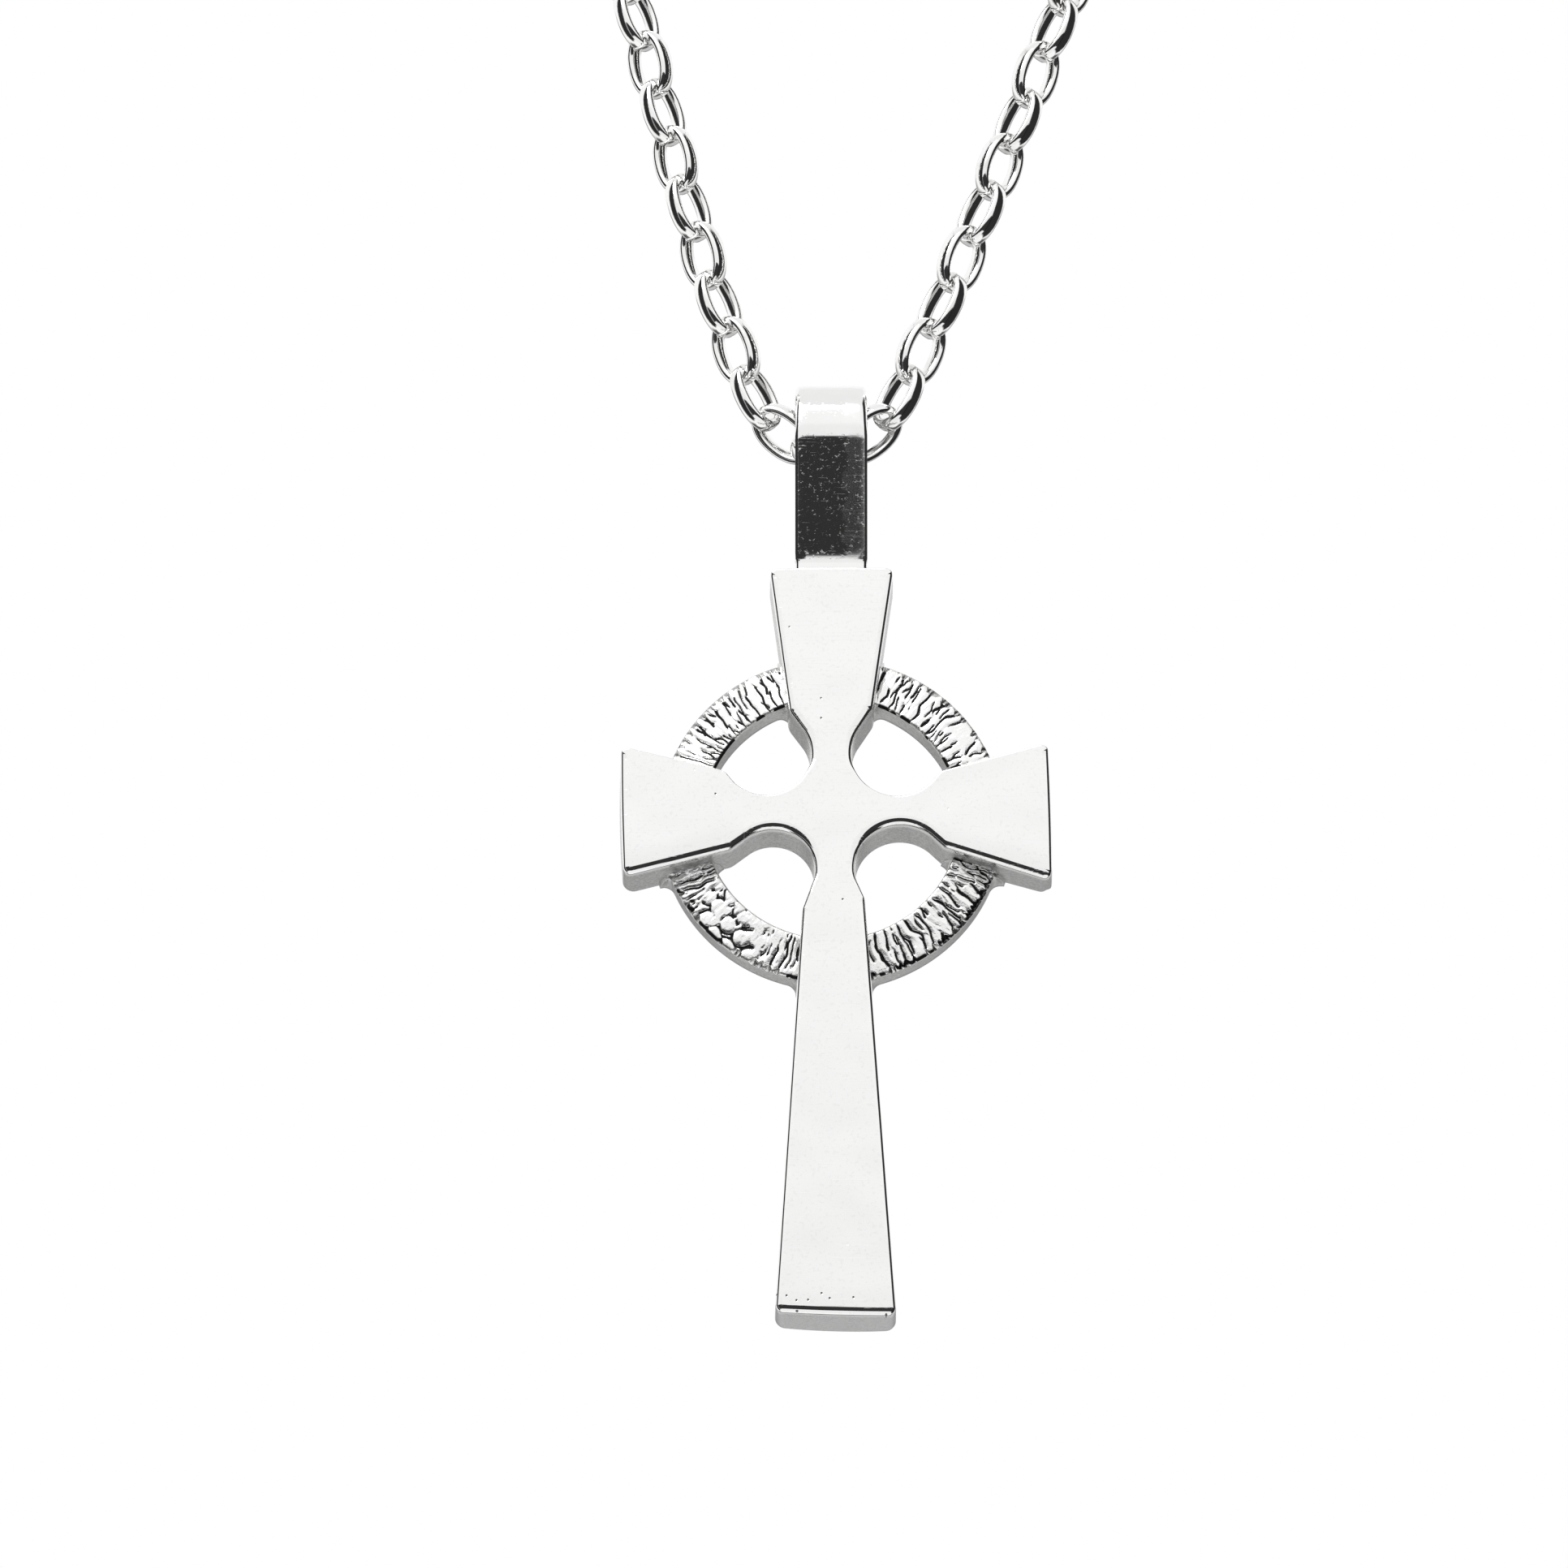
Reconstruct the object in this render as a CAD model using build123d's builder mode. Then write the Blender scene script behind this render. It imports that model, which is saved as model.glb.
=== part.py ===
from build123d import *
import os
from math import acos, atan2, cos, hypot, radians, sin, tan
from random import Random

# Celtic cross pendant on an oval-link chain, in millimetres.
# The chain is worn closed: its clasp lies at the nape, at the origin, and the
# pendant hangs in front, facing -Y. +X is the right-hand side as seen from the
# front, and +Z is up.

# Corners of each arm of the cross: how far out along the arm, and how far off its
# axis. First the shoulder and the tip corner on its clockwise side, then the tip
# corner and the shoulder on its other side. The sides differ a little, as filed.
right_arm = [(4.6, -1.62), (9.02, -3.03), (8.92, 2.94), (4.45, 1.68)]
top_arm = [(4.45, -1.7), (10.66, -2.6), (10.62, 2.58), (4.3, 1.74)]
left_arm = [(4.4, -1.7), (8.7, -2.79), (8.55, 2.87), (4.15, 1.71)]
foot_arm = [(4.35, -1.23), (21.42, -2.33), (21.56, 2.56), (3.9, 1.36)]

# Round hollows between the arms, from the upper right one anticlockwise: centre and radius
hollows = [
    (2.7, 2.5, 1.9),
    (-2.69, 2.48, 1.84),
    (-2.42, -2.55, 1.72),
    (2.81, -2.5, 1.88),
]

# Thickness and edges of the cast cross
cross_thickness = 2.35
wall_draft = 0.8
tip_crown = 0.1
crown_share = 0.8
tip_corner_radius = 0.28
shoulder_radius = 0.7
front_edge_radius = 0.1

# Ring of the cross, flush with the back and stepped down behind the front face
ring_inner_radius = 5.25
ring_outer_radius = 7.1
ring_inner_thickness = 1.4
ring_outer_thickness = 1.05
ring_edge_radius = 0.15
ring_crown = 0.05

# Bark ridges cast across the front of the ring
ridge_radius = 0.2
ridge_pitch = 0.42
ridge_inset = 0.1
ridge_rise = 0.09
ridge_skew = 16
ridge_span = 52
ridge_seed = 7

# Strap bail, soldered on the top end of the cross
bail_width = 3.0
strap_thickness = 0.75
bail_eye_radius = 1.67
bail_foot_radius = 0.2
bail_pivot_height = 16.7
bail_foot_height = 11.25
bail_edge_radius = 0.16
strap_end_height = 10.39

# Oval link of flat wire with rounded edges, rolled a quarter turn from link to link
nominal_pitch = 2.287
link_width = 2.1
link_end_radius = 0.98
link_wire_width = 0.66
link_wire_thickness = 0.3
link_outer_rounding = 0.14
link_inner_rounding = 0.13
link_play = 0.25
link_roll = 45

# How the chain passes through the bail: one level link inside it, a rising link
# on each side of that, and the slack that each of these bends takes up
bail_link_shift = -0.16
bail_link_drop = 0.2
first_link_rise = 40
second_link_rise = 65
bail_bend_slack = 0.26
second_bend_slack = 0.17

# Bolt-ring clasp at the nape
clasp_ring_radius = 2.5
clasp_wire_radius = 0.45
clasp_eye_radius = 0.95
clasp_eye_wire_radius = 0.35
clasp_solder_overlap = 0.15
clasp_stud_radius = 0.32
clasp_stud_length = 0.8

# Route of the chain from the bail to the nape. Each point is across, forward of
# the nape, and down from the nape.
pendant_forward = 96
pendant_pivot_down = 128.5
right_route = [
    (10.0, pendant_forward, 108.1),
    (23.3, 94.5, 71.5),
    (37, 85, 36),
    (47.5, 57, 13),
    (40, 23, 4),
    (20, 4, 0.6),
]
left_route = [
    (-8.1, pendant_forward, 109.4),
    (-21.9, 94.5, 71.5),
    (-36.5, 85, 36),
    (-47.5, 57, 13),
    (-40, 23, 4),
    (-20, 4, 0.6),
]

pivot = Vector(0, -pendant_forward, -pendant_pivot_down)
crossing = pivot - Vector(0, 0, bail_pivot_height)
cross_plane = Plane(origin=crossing, x_dir=(1, 0, 0), z_dir=(0, -1, 0))
front_plane = cross_plane.offset(cross_thickness / 2)
back_plane = cross_plane.offset(-cross_thickness / 2)
draft_growth = cross_thickness * tan(radians(wall_draft))


def turned(point, turn):
    """A point of the cross's plane, turned about the crossing."""
    angle = radians(turn)
    across, along = point
    return (across * cos(angle) - along * sin(angle), across * sin(angle) + along * cos(angle))


def tangent_point(corner, centre, radius, side):
    """Point where a line from the corner touches a circle, on the given side."""
    reach = hypot(corner[0] - centre[0], corner[1] - centre[1])
    heading = atan2(corner[1] - centre[1], corner[0] - centre[0])
    turn = acos(min(1, radius / reach)) * side
    return (centre[0] + radius * cos(heading + turn), centre[1] + radius * sin(heading + turn))


# Cross
arms = [(0, right_arm), (90, top_arm), (180, left_arm), (270, foot_arm)]


def arm_corners(arm, growth):
    """The corners of one arm from its first shoulder round its tip to its last, anticlockwise."""
    turn, (first_shoulder, first_tip, last_tip, last_shoulder) = arm
    tip_reach = (first_tip[0] + last_tip[0]) / 2 + tip_crown
    tip_middle = (first_tip[1] + last_tip[1]) / 2
    corners = [
        (first_shoulder[0], first_shoulder[1] - growth),
        (first_tip[0] + growth, first_tip[1] - growth),
        (tip_reach + growth, tip_middle),
        (last_tip[0] + growth, last_tip[1] + growth),
        (last_shoulder[0], last_shoulder[1] + growth),
    ]
    return [turned(corner, turn) for corner in corners]


def rounded_path(points, radii):
    """Straight runs through the points, with a tangent arc at each corner between the ends."""
    last_end = Vector(*points[0])
    for before, corner, after, radius in zip(points, points[1:], points[2:], radii):
        corner = Vector(*corner)
        inward = (corner - Vector(*before)).normalized()
        outward = (Vector(*after) - corner).normalized()
        half_turn = radians(inward.get_angle(outward)) / 2
        setback = radius * tan(half_turn)
        arc_start = corner - inward * setback
        arc_end = corner + outward * setback
        toward_middle = (outward - inward).normalized()
        arc_middle = corner + toward_middle * radius * (1 / cos(half_turn) - 1)
        Line(last_end, arc_start)
        ThreePointArc(arc_start, arc_middle, arc_end)
        last_end = arc_end
    Line(last_end, Vector(*points[-1]))


def cross_lines(growth):
    """The cross's outline, grown by a small amount, as lines and arcs of the current BuildLine."""
    for index, arm in enumerate(arms):
        corners = arm_corners(arm, growth)
        next_corners = arm_corners(arms[(index + 1) % 4], growth)
        *hollow_before, radius_before = hollows[index - 1]
        *hollow, radius = hollows[index]
        start = tangent_point(corners[0], hollow_before, radius_before - growth, 1)
        end = tangent_point(corners[-1], hollow, radius - growth, -1)
        next_start = tangent_point(next_corners[0], hollow, radius - growth, 1)
        half_tip_width = (arm[1][2][1] - arm[1][1][1]) / 2
        crown_radius = crown_share * half_tip_width**2 / tip_crown
        rounding = [shoulder_radius, tip_corner_radius, crown_radius, tip_corner_radius, shoulder_radius]
        rounded_path([start, *corners, end], rounding)
        armpit = Vector(*hollow) - Vector(*hollow).normalized() * (radius - growth)
        ThreePointArc(end, armpit, next_start)


with BuildPart() as cross:
    with BuildSketch(back_plane):
        with BuildLine():
            cross_lines(draft_growth)
        make_face()
    with BuildSketch(front_plane):
        with BuildLine():
            cross_lines(0)
        make_face()
    loft(ruled=True)

# Ring: a band turned about the crossing, its front sloping down towards the outside
ring_plane = Plane(origin=crossing, x_dir=(1, 0, 0), z_dir=(0, 0, 1))
ring_back = cross_thickness / 2
ring_inner_front = ring_back - ring_inner_thickness
ring_outer_front = ring_back - ring_outer_thickness
ring_middle_radius = (ring_inner_radius + ring_outer_radius) / 2
ring_middle_front = (ring_inner_front + ring_outer_front) / 2 - ring_crown

with BuildPart() as ring:
    with BuildSketch(ring_plane):
        with BuildLine():
            Line((ring_inner_radius, ring_inner_front), (ring_inner_radius, ring_back))
            Line((ring_inner_radius, ring_back), (ring_outer_radius, ring_back))
            Line((ring_outer_radius, ring_back), (ring_outer_radius, ring_outer_front))
            ThreePointArc(
                (ring_outer_radius, ring_outer_front),
                (ring_middle_radius, ring_middle_front),
                (ring_inner_radius, ring_inner_front),
            )
        band = make_face()
        fillet(band.vertices(), radius=ring_edge_radius)
    revolve(axis=Axis(crossing, (0, 1, 0)))

# Bark ridges: short round bars sunk across the band, each turned a little its own way
ridge_length = ring_outer_radius - ring_inner_radius - 2 * ridge_inset
ridge_slope = atan2(ring_outer_front - ring_inner_front, ring_outer_radius - ring_inner_radius)
ridge_count = round(radians(ridge_span) * ring_middle_radius / ridge_pitch)
shake = Random(ridge_seed)
ridge_places = []
for quarter in range(4):
    for step in range(ridge_count + 1):
        turn = 90 * quarter + 45 + ridge_span * (step / ridge_count - 0.5)
        outward = Vector(cos(radians(turn)), 0, sin(radians(turn)))
        around = Vector(-sin(radians(turn)), 0, cos(radians(turn)))
        skew = radians(shake.uniform(-ridge_skew, ridge_skew))
        along = (outward * cos(skew) + around * sin(skew)) * cos(ridge_slope)
        along = along + Vector(0, sin(ridge_slope), 0)
        sink = ridge_radius - ridge_rise * shake.uniform(0.5, 1)
        middle = crossing + outward * ring_middle_radius + Vector(0, ring_middle_front + sink, 0)
        ridge_places.append(Plane(origin=middle, z_dir=along))

with BuildPart() as ridges:
    with Locations(*ridge_places):
        Cylinder(radius=ridge_radius, height=ridge_length)

# Bail: a strap bent round the chain, its two ends soldered on the top end of the cross
bail_side = Plane(origin=crossing - Vector(bail_width / 2, 0, 0), x_dir=(0, 1, 0), z_dir=(1, 0, 0))

with BuildPart() as bail:
    with BuildSketch(bail_side):
        with Locations((0, bail_pivot_height)):
            Circle(bail_eye_radius + strap_thickness)
        with Locations((0, bail_foot_height)):
            Circle(bail_foot_radius + strap_thickness)
        make_hull()
        with Locations((0, (bail_foot_height + strap_end_height) / 2)):
            Rectangle(2 * (bail_foot_radius + strap_thickness), bail_foot_height - strap_end_height)
    extrude(amount=bail_width)
    with BuildSketch(bail_side):
        with Locations((0, bail_pivot_height)):
            Circle(bail_eye_radius)
        with Locations((0, bail_foot_height)):
            Circle(bail_foot_radius)
        make_hull()
    extrude(amount=bail_width, mode=Mode.SUBTRACT)
    strap_edges = bail.faces().sort_by(Axis.X)[0].edges() + bail.faces().sort_by(Axis.X)[-1].edges()
    fillet(strap_edges, radius=bail_edge_radius)

with BuildPart() as pendant:
    add(cross.part)
    add(ring.part)
    fillet(pendant.faces().sort_by(Axis.Y)[0].edges(), radius=front_edge_radius)
    add(bail.part)
    add(ridges.part)
pendant.part.label = "cross_pendant"


def oval_lines(half_length, half_width, end_radius):
    """An oval of two end arcs and two side arcs, tangent where they meet."""
    end_centre = half_length - end_radius
    side_radius = (end_centre**2 + half_width**2 - end_radius**2) / (2 * (half_width - end_radius))
    reach = side_radius - end_radius
    across = end_centre + end_radius * end_centre / reach
    up = end_radius * (side_radius - half_width) / reach
    ThreePointArc((across, -up), (half_length, 0), (across, up))
    ThreePointArc((across, up), (0, half_width), (-across, up))
    ThreePointArc((-across, up), (-half_length, 0), (-across, -up))
    ThreePointArc((-across, -up), (0, -half_width), (across, -up))


# Link: an oval hoop of flat wire, its length along x and its band along z
link_half_length = (nominal_pitch + link_play) / 2 + link_wire_thickness

with BuildPart() as link:
    with BuildSketch():
        with BuildLine():
            oval_lines(link_half_length, link_width / 2, link_end_radius)
        make_face()
        with BuildLine():
            oval_lines(
                link_half_length - link_wire_thickness,
                link_width / 2 - link_wire_thickness,
                link_end_radius - link_wire_thickness,
            )
        make_face(mode=Mode.SUBTRACT)
    extrude(amount=link_wire_width / 2, both=True)
    flats = link.faces().filter_by(Plane.XY)
    fillet([edge for flat in flats for edge in flat.outer_wire().edges()], radius=link_outer_rounding)
    flats = link.faces().filter_by(Plane.XY)
    fillet([edge for flat in flats for edge in flat.inner_wires()[0].edges()], radius=link_inner_rounding)

# Clasp: a bolt ring with an eye soldered to its side and a thumb stud on top
link_seat = link_end_radius - link_wire_thickness - link_play / 2
eye_offset = clasp_ring_radius + clasp_wire_radius + clasp_eye_wire_radius + clasp_eye_radius
eye_offset -= clasp_solder_overlap
nape_span = clasp_ring_radius + eye_offset + clasp_eye_radius - 2 * link_seat
clasp_middle = nape_span / 2 - clasp_ring_radius + link_seat


def link_heading(sign, rise):
    """Direction of a link that climbs away from the bail, its rise in degrees."""
    return Vector(sign * cos(radians(rise)), 0, sin(radians(rise)))


def side_links(sign, points):
    """The two ends of each link on one side, from beside the bail up and round to the nape."""
    level = Vector(sign, 0, 0)
    first_heading = link_heading(sign, first_link_rise)
    second_heading = link_heading(sign, second_link_rise)
    first_start = pivot + Vector(bail_link_shift, 0, -bail_link_drop) + level * nominal_pitch / 2
    first_start -= (level + first_heading).normalized() * bail_bend_slack
    first_end = first_start + first_heading * nominal_pitch
    route_start = first_end - (first_heading + second_heading).normalized() * second_bend_slack
    places = [route_start]
    places += [Vector(across, -forward, -down) for across, forward, down in points]
    places += [Vector(sign * nape_span / 2, 0, 0)]
    route = Spline(*places, tangents=[second_heading, -level], mode=Mode.PRIVATE)
    count = round(route.length / nominal_pitch)
    junctions = [route.position_at(step / count) for step in range(count + 1)]
    return [(first_start, first_end)] + list(zip(junctions, junctions[1:]))


def link_planes(spans, sign):
    """A plane for each link, its length along x, with the roll turned the other way each time."""
    planes = []
    outward = Vector(0, -1, 0)
    for index, (start, end) in enumerate(spans):
        along = (end - start).normalized()
        outward = (outward - along * outward.dot(along)).normalized()
        roll = radians(link_roll) * sign * (-1) ** index
        across = outward * cos(roll) + along.cross(outward) * sin(roll)
        planes.append(Plane(origin=(start + end) / 2, x_dir=along, z_dir=along.cross(across)))
    return planes


right_planes = link_planes(side_links(1, right_route), -1)
left_planes = link_planes(side_links(-1, left_route), 1)
bail_link_middle = pivot + Vector(bail_link_shift, 0, -bail_link_drop)
level_half = Vector(nominal_pitch / 2, 0, 0)
middle_planes = link_planes([(bail_link_middle - level_half, bail_link_middle + level_half)], 1)
places = left_planes[::-1] + middle_planes + right_planes
chain = Compound([link.part.solid().moved(Location(place)) for place in places])
chain.label = "chain"

clasp_normal = Vector(1, 0, 0).cross(right_planes[-1].z_dir)
clasp_plane = Plane(origin=(clasp_middle, 0, 0), x_dir=(1, 0, 0), z_dir=clasp_normal)
with BuildPart() as clasp:
    with Locations(clasp_plane):
        Torus(major_radius=clasp_ring_radius, minor_radius=clasp_wire_radius)
    with Locations(clasp_plane * Location((-eye_offset, 0, 0))):
        Torus(major_radius=clasp_eye_radius, minor_radius=clasp_eye_wire_radius)
    with Locations(clasp_plane * Location((0, clasp_ring_radius + clasp_stud_length / 2, 0), (90, 0, 0))):
        Cylinder(radius=clasp_stud_radius, height=clasp_stud_length)
clasp.part.label = "clasp"

os.makedirs("parts", exist_ok=True)
export_step(pendant.part, "parts/cross_pendant.step")
export_step(chain, "parts/chain.step")
export_step(clasp.part, "parts/clasp.step")
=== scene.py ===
from math import acos, asin, atan2, cos, degrees, hypot, pi, radians, sin, sqrt, tan

import bmesh
import bpy
import numpy as np
from mathutils import Matrix, Vector


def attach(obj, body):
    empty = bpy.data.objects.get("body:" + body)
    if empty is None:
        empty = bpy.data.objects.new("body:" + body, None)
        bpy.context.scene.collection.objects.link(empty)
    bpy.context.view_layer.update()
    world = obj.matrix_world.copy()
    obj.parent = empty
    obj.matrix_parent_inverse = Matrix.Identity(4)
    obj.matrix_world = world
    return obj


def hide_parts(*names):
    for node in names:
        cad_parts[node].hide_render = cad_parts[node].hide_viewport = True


# A silver ringed cross on a strap bail, hung on an oval-link chain.
# Sizes are in millimetres and angles in degrees, and MM turns sizes into the frame's metres.

MM = 0.001
DEGREES_PER_RADIAN = 180 / pi

# The crossing of the cross, and how far above it the bail's pivot lies
CROSSING = Vector((0, -96, -145.2))
PIVOT_HEIGHT = 16.7

# Cross: turn of each arm and its corners, how far out along it and how far off its axis:
# shoulder and tip on its clockwise side, then tip and shoulder on the other
ARMS = [
    (0, [(4.6, -1.62), (9.02, -3.03), (8.92, 2.94), (4.45, 1.68)]),
    (90, [(4.45, -1.7), (10.66, -2.6), (10.62, 2.58), (4.3, 1.74)]),
    (180, [(4.4, -1.7), (8.7, -2.79), (8.55, 2.87), (4.15, 1.71)]),
    (270, [(4.35, -1.23), (21.42, -2.33), (21.56, 2.56), (3.9, 1.36)]),
]
# Round hollows between the arms, from the upper right one anticlockwise: centre and radius
HOLLOWS = [(2.7, 2.5, 1.9), (-2.69, 2.48, 1.84), (-2.42, -2.55, 1.72), (2.81, -2.5, 1.88)]
THICKNESS = 2.35
WALL_DRAFT = 0.8
SHOULDER_RADIUS = 0.7
# Crown and corner radius of each tip, at the face and at the back, and the share of a tip's
# width that its crown curves over
FACE_TIP = (0.05, 0.3)
BACK_TIP = (0.16, 0.42)
CROWN_SHARE = 0.8
# Worn front edge on walls that face up, sideways and down: its inset and its drop
EDGE_UP = (0.08, 0.08)
EDGE_ASIDE = (0.27, 0.2)
EDGE_DOWN = (0.36, 0.24)
BACK_EDGE_RADIUS = 0.09
# How steeply a wall's normal rises or falls where it starts to face up or down, and wholly does
FACING = (0.1, 0.5)
# The right arm's lower wall leans in: how far it stands out at the face and in at the back, and
# how far right of the crossing that starts and is complete
LOW_RIGHT_LEAN = (0.06, 0.12)
LOW_RIGHT_RANGE = (5, 9)
# Steps round each corner, crown and hollow of the outline, then over the edges and down the wall
CORNER_STEPS = 10
CROWN_STEPS = 24
HOLLOW_STEPS = 44
FRONT_EDGE_STEPS = 12
BACK_EDGE_STEPS = 4
WALL_STEPS = 7

# The polished face rolls over a little towards its lower edges: how far up from them it starts,
# and where they are. The arms' edge lies so far below the crossing, and slopes from the start
# outwards. The shaft's sides, within its reach, have none. The foot's edge is its end
ROLL_WIDTH = 1.1
ARM_EDGE_DROP = 1.6
ARM_EDGE_START = 4.5
ARM_EDGE_SLOPE = 0.3
SHAFT_REACH = 3.6
FOOT_EDGE_DROP = 21.5
# The foot's end is brighter and more pitted: how far below the crossing that is at its fullest,
# and how far below it has faded out
FOOT_END = (20.9, 20.2)

# Ring: its band, whose back lies a little inside the cross, and fillets where it meets the arms
RING_INNER_RADIUS = 5.25
RING_OUTER_RADIUS = 7.1
RING_INNER_THICKNESS = 1.34
RING_OUTER_THICKNESS = 1.16
RING_BACK_INSET = 0.02
RING_EDGE_RADIUS = 0.13
RING_FILLET = 0.45
RING_STATIONS = 1440
RING_FRONT_STEPS = 34
RING_EDGE_STEPS = 4
RING_WALL_STEPS = 6

# Bark on the ring's front: its depth, the pitch of its ribs and of the scales in its lower left,
# how far its crevices cut into the outer rim, and the seed of its noise
BARK_DEPTH = 0.09
BARK_PITCH = 0.43
SCALE_PITCH = 0.85
BARK_NOTCH = 0.22
BARK_SEED = 4.0
# How fast the bark grows from half at the ring's edges to full, over a share of its width
BARK_GROWTH = 6
# Where round the ring the scales start and end, and how softly
SCALES = (-147, -117, 8)

# Strap bail: the strap runs round a wide eye and a narrow foot, and its ends go straight down
BAIL_WIDTH = 3.0
STRAP_THICKNESS = 0.75
BAIL_EYE_RADIUS = 1.67
BAIL_FOOT_RADIUS = 0.12
BAIL_FOOT_HEIGHT = 11.25
STRAP_END_HEIGHT = 10.39
# Its edges: bevelled on the straight sides, worn round over the top, each as depth and width
BAIL_BEVEL = (0.1, 0.115)
BAIL_WORN_EDGE = (0.27, 0.3)
# Where rows of points lie across a bevel, close together at its creases
BEVEL_STEPS = (0, 0.03, 0.15, 0.35, 0.5, 0.65, 0.85, 0.97, 1)
# The extra rows at the strap's bends: a share of each side, and a length above the foot
SIDE_CREASE = 0.01
FOOT_CREASE = 0.04
# The strap's two ends stay this far apart below the foot
STRAP_SLIT = 0.001
# Steps along the strap's foot, sides and eye, and across its flat
FOOT_STEPS = 6
SIDE_STEPS = 10
EYE_STEPS = 64
FLAT_STEPS = 8

# Chain link: an oval hoop of domed flat wire
LINK_LENGTH = 3.12
LINK_WIDTH = 2.1
WIRE_WIDTH = 0.68
WIRE_THICKNESS = 0.38
# Powers that fill out the hoop's oval and the wire's section, where 1 gives a plain ellipse
OVAL_POWER = 0.93
WIRE_THICKNESS_POWER = 0.75
WIRE_WIDTH_POWER = 0.6
# Points this near to one another are joined: in the frame's chain, and where a link's surface
# closes on itself
FRAME_GAP = 0.001
SEAM_GAP = 0.002
# Links within this distance of the bail's pivot have more steps, round the hoop and the wire
CLOSE_RANGE = 36
CLOSE_STEPS = (48, 14)
FAR_STEPS = (12, 6)

# Colours of the silver: bright, hazy, dark and light grains of a cast wall, its blemishes, and the
# near black of the shade painted into the ring's crevices
BRIGHT = (0.945, 0.943, 0.938, 1)
HAZY = (0.9, 0.898, 0.893, 1)
DARK_GRAIN = (0.62, 0.618, 0.61, 1)
LIGHT_GRAIN = (0.8, 0.798, 0.79, 1)
PIT_COLOUR = (0.16, 0.158, 0.155, 1)
# Painted shade: near black in the ring's crevices and on its rims that face down
PAINTED_SHADE_COLOUR = (0.02, 0.02, 0.02, 1)
TARNISH_COLOUR = (0.62, 0.61, 0.59, 1)

# Camera: it looks up at the cross from below, and sees this many pixels to the millimetre
CAMERA_RISE = 20
CAMERA_DISTANCE = 330
SENSOR_WIDTH = 36
PICTURE_WIDTH = 1932
PIXELS_PER_MM = 30
CLIP_RANGE = (10, 50000)
# How many pixels right of the picture's middle and below it the crossing appears
CROSSING_OFFSET = (59, 31)

# Studio as the silver sees it. Rise is measured up from the horizon, and swing away from the
# lens to either side. A band has a start, an end and a softness, and its shade darkens it
FRONT_END = (56, 64)
BACK_START = (110, 130)
# Brightness of the card in front, and what it gains over a rise
FRONT_CARD = 0.91
FRONT_CARD_GAIN = 0.08
FRONT_CARD_RISE = (13, 23)
OVERHEAD_START = (48, 66)
OVERHEAD_SHADE = 0.1
LENS_GAP_RISE = (-46, -5.8, 2)
LENS_GAP_SHADE = 0.966
# The right flag reaches farther forwards and backwards than the left one
FLAG_SWING = (62, 96, 6)
RIGHT_FLAG_EXTRA = (6, 12)
FLAG_RISE = (-58, 62, 8)
FLAG_SHADE = 0.975
# The grey card behind darkens over a rise and has a paler stripe, and a shadow lies below it
BACK_CARD_RISE = (-38, 15, 8)
BACK_CARD_SHADE = 0.46
BACK_CARD_EXTRA = 0.2
BACK_CARD_DARKER = (-14, 2)
STRIPE_RISE = (-18.4, -14, 2)
STRIPE_SHARE = 0.3
BACK_SHADOW_RISE = (-58, -38, 4)
BACK_SHADOW_SHADE = 0.9

# Floor and soft box
FLOOR_RADIUS = 20000
FLOOR_HEIGHT = -420
FLOOR_SIDES = 96
FLOOR_COLOUR = (0.9, 0.9, 0.9, 1)
SOFT_BOX_PLACE = (-250, -450, 350)
SOFT_BOX_SIZE = (500, 400)
SOFT_BOX_WATTS = 3.0


class Value:
    """A socket of a node tree. Arithmetic on it adds Math nodes."""

    def __init__(self, graph, socket):
        self.graph = graph
        self.socket = socket

    def math(self, operation, *others):
        return self.graph.math(operation, self, *others)

    def __add__(self, other):
        return self.math("ADD", other)

    def __radd__(self, other):
        return self.graph.math("ADD", other, self)

    def __sub__(self, other):
        return self.math("SUBTRACT", other)

    def __rsub__(self, other):
        return self.graph.math("SUBTRACT", other, self)

    def __mul__(self, other):
        return self.math("MULTIPLY", other)

    def __rmul__(self, other):
        return self.graph.math("MULTIPLY", other, self)

    def __truediv__(self, other):
        return self.math("DIVIDE", other)

    def __rtruediv__(self, other):
        return self.graph.math("DIVIDE", other, self)

    def __pow__(self, other):
        return self.math("POWER", other)

    def __neg__(self):
        return self.graph.math("SUBTRACT", 0, self)

    def __abs__(self):
        return self.math("ABSOLUTE")

    def __lt__(self, other):
        return self.math("LESS_THAN", other)

    def __gt__(self, other):
        return self.math("GREATER_THAN", other)

    def clamped(self):
        return self.graph.value("ShaderNodeClamp", {}, {"Value": self})

    def larger(self, other):
        return self.math("MAXIMUM", other)

    def smaller(self, other):
        return self.math("MINIMUM", other)

    def between(self, low, high, soft):
        """1 where the value lies between low and high, easing in and out over soft."""
        risen = self.graph.ease(self, low - soft / 2, low + soft / 2)
        fallen = self.graph.ease(self, high - soft / 2, high + soft / 2)
        return risen * (1 - fallen)


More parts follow.
